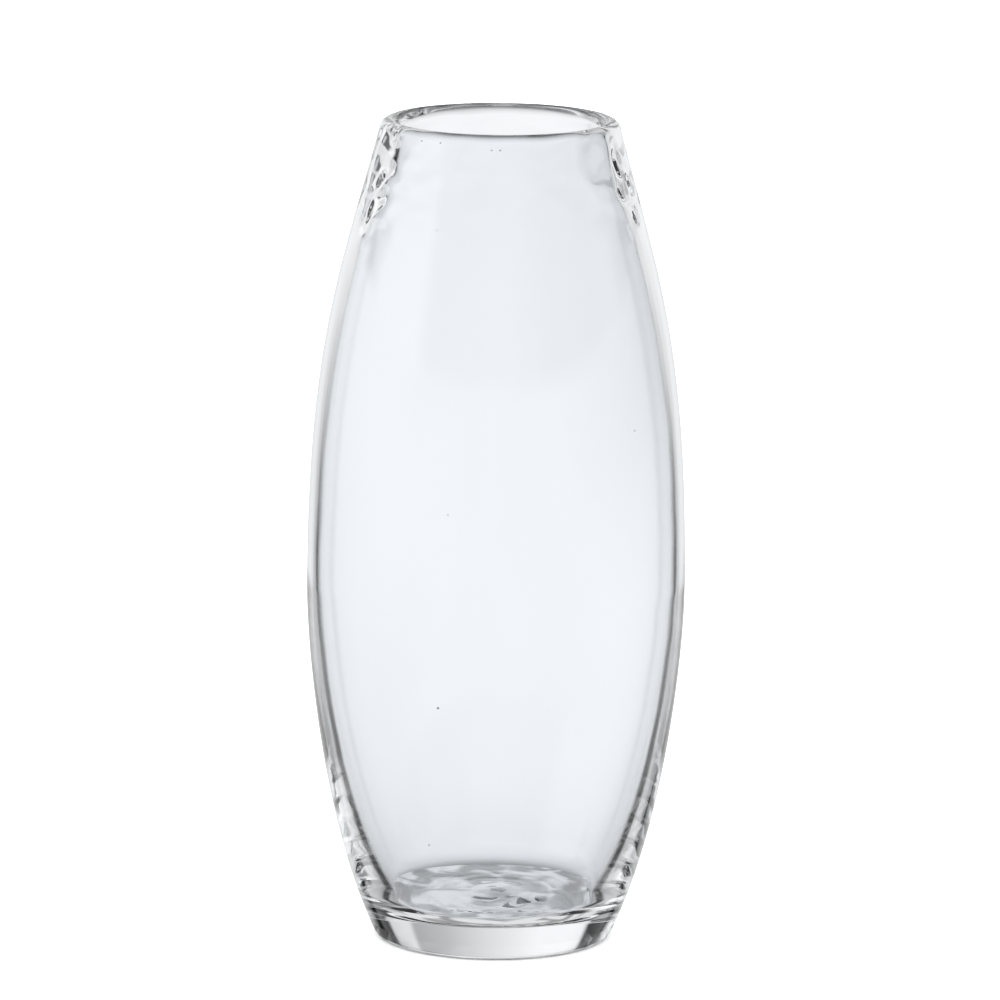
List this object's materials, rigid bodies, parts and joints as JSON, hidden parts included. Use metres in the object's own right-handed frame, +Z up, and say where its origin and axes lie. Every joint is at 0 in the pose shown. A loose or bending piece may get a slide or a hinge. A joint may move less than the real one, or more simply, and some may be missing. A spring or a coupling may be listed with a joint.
{
  "type": "bud vase",
  "caption": "Clear blown-glass bud vase with a thick flat foot, a swelling body, shoulders drawn in to a rounded lip, and an open mouth.",
  "frame": {"origin": "centre of the flat foot, on the surface that the vase stands on", "axes": "+Z up along the axis the vase is turned about; -Y towards the viewer and +X to the viewer's right"},
  "size_m": [0.0916, 0.0916, 0.2005],
  "materials": {
    "clear_glass": "fire-polished blown soda-lime glass, clear, with faint ripples and a few seeds"
  },
  "bodies": {
    "root": {"glass_vase": "clear_glass"}
  },
  "joints": []
}
